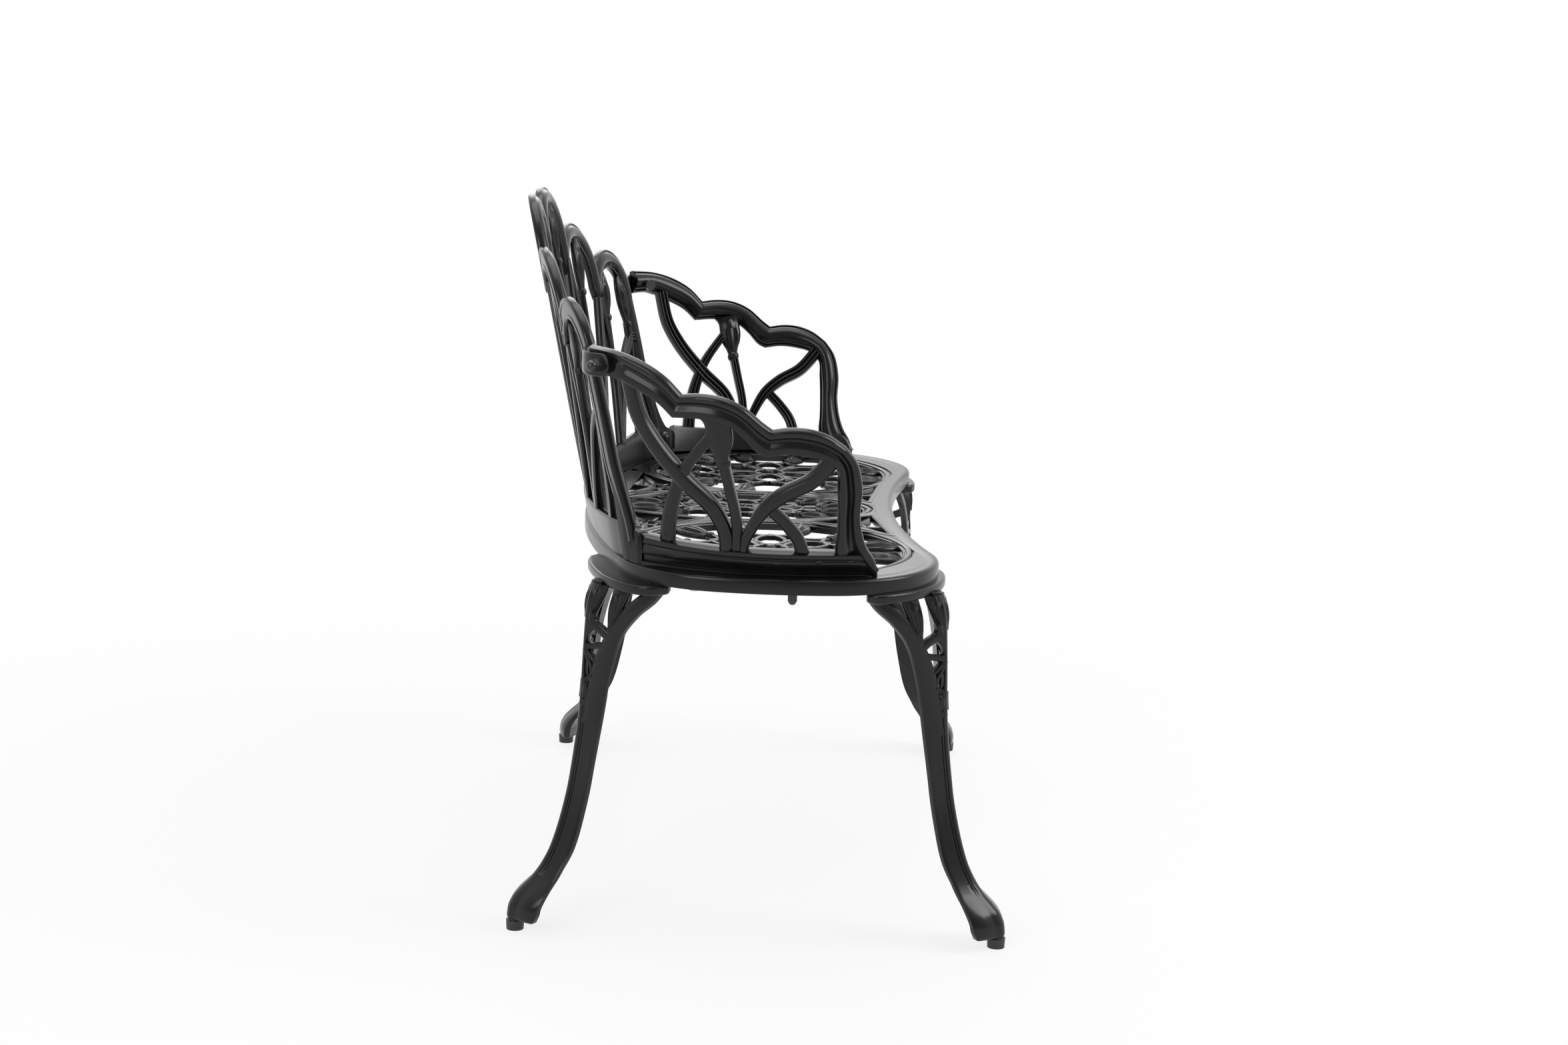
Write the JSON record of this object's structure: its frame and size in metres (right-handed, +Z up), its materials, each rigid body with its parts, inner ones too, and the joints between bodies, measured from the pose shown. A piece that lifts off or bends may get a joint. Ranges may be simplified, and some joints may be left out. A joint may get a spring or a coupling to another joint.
{
  "type": "garden bench",
  "caption": "Cast garden bench with a curved, lobed tulip back, flared openwork arms, a pierced seat and cabriole legs on levelling feet.",
  "frame": {"origin": "on the floor under the middle of the bench's outline", "axes": "+Z up, +X towards the sitter's left along the bench, the sitter looks along -Y"},
  "size_m": [1.004, 0.5766, 0.8018],
  "materials": {
    "coated_casting": "black satin powder coat on cast aluminium",
    "coated_fastener": "black coated steel",
    "zinc_steel": "zinc plated",
    "nylon": "moulded black nylon"
  },
  "bodies": {
    "bench": {"seat_panel": "coated_casting", "backrest": "coated_casting", "left_arm": "coated_casting", "right_arm": "coated_casting", "front_left_leg": "coated_casting", "front_right_leg": "coated_casting", "rear_left_leg": "coated_casting", "rear_right_leg": "coated_casting", "arm_stud_nuts": "coated_fastener", "ear_nuts": "coated_fastener", "ear_screws": "coated_fastener", "ear_washers": "coated_fastener", "leg_bolts": "zinc_steel", "leg_washers": "zinc_steel", "back_bolts": "zinc_steel", "back_washers": "zinc_steel", "arm_bolts": "zinc_steel", "arm_bolt_washers": "zinc_steel", "arm_studs": "zinc_steel", "arm_stud_washers": "zinc_steel"},
    "front_left_stud": {"front_left_foot_stud": "zinc_steel"},
    "front_left_pad": {"front_left_foot_pad": "nylon"},
    "front_right_stud": {"front_right_foot_stud": "zinc_steel"},
    "front_right_pad": {"front_right_foot_pad": "nylon"},
    "rear_left_stud": {"rear_left_foot_stud": "zinc_steel"},
    "rear_left_pad": {"rear_left_foot_pad": "nylon"},
    "rear_right_stud": {"rear_right_foot_stud": "zinc_steel"},
    "rear_right_pad": {"rear_right_foot_pad": "nylon"}
  },
  "joints": [
    {"name": "front_left_foot_height", "type": "slide", "parent": "bench", "child": "front_left_stud", "axis": [0, 0, -1], "range_m": [0, 0.006]},
    {"name": "front_left_pad_turn", "type": "hinge", "parent": "front_left_stud", "child": "front_left_pad", "pos_m": [0.4125, -0.2822, 0.005], "axis": [0, 0, 1], "range_deg": [0, 1729]},
    {"name": "front_right_foot_height", "type": "slide", "parent": "bench", "child": "front_right_stud", "axis": [0, 0, -1], "range_m": [0, 0.006]},
    {"name": "front_right_pad_turn", "type": "hinge", "parent": "front_right_stud", "child": "front_right_pad", "pos_m": [-0.4125, -0.2822, 0.005], "axis": [0, 0, 1], "range_deg": [0, 1729]},
    {"name": "rear_left_foot_height", "type": "slide", "parent": "bench", "child": "rear_left_stud", "axis": [0, 0, -1], "range_m": [0, 0.006]},
    {"name": "rear_left_pad_turn", "type": "hinge", "parent": "rear_left_stud", "child": "rear_left_pad", "pos_m": [0.3965, 0.2572, 0.005], "axis": [0, 0, 1], "range_deg": [0, 1729]},
    {"name": "rear_right_foot_height", "type": "slide", "parent": "bench", "child": "rear_right_stud", "axis": [0, 0, -1], "range_m": [0, 0.006]},
    {"name": "rear_right_pad_turn", "type": "hinge", "parent": "rear_right_stud", "child": "rear_right_pad", "pos_m": [-0.3965, 0.2572, 0.005], "axis": [0, 0, 1], "range_deg": [0, 1729]}
  ],
  "couplings": [
    {"joint": "front_left_pad_turn", "follows": "front_left_foot_height", "rad_per_m": 5026.5},
    {"joint": "front_right_pad_turn", "follows": "front_right_foot_height", "rad_per_m": 5026.5},
    {"joint": "rear_left_pad_turn", "follows": "rear_left_foot_height", "rad_per_m": 5026.5},
    {"joint": "rear_right_pad_turn", "follows": "rear_right_foot_height", "rad_per_m": 5026.5}
  ]
}
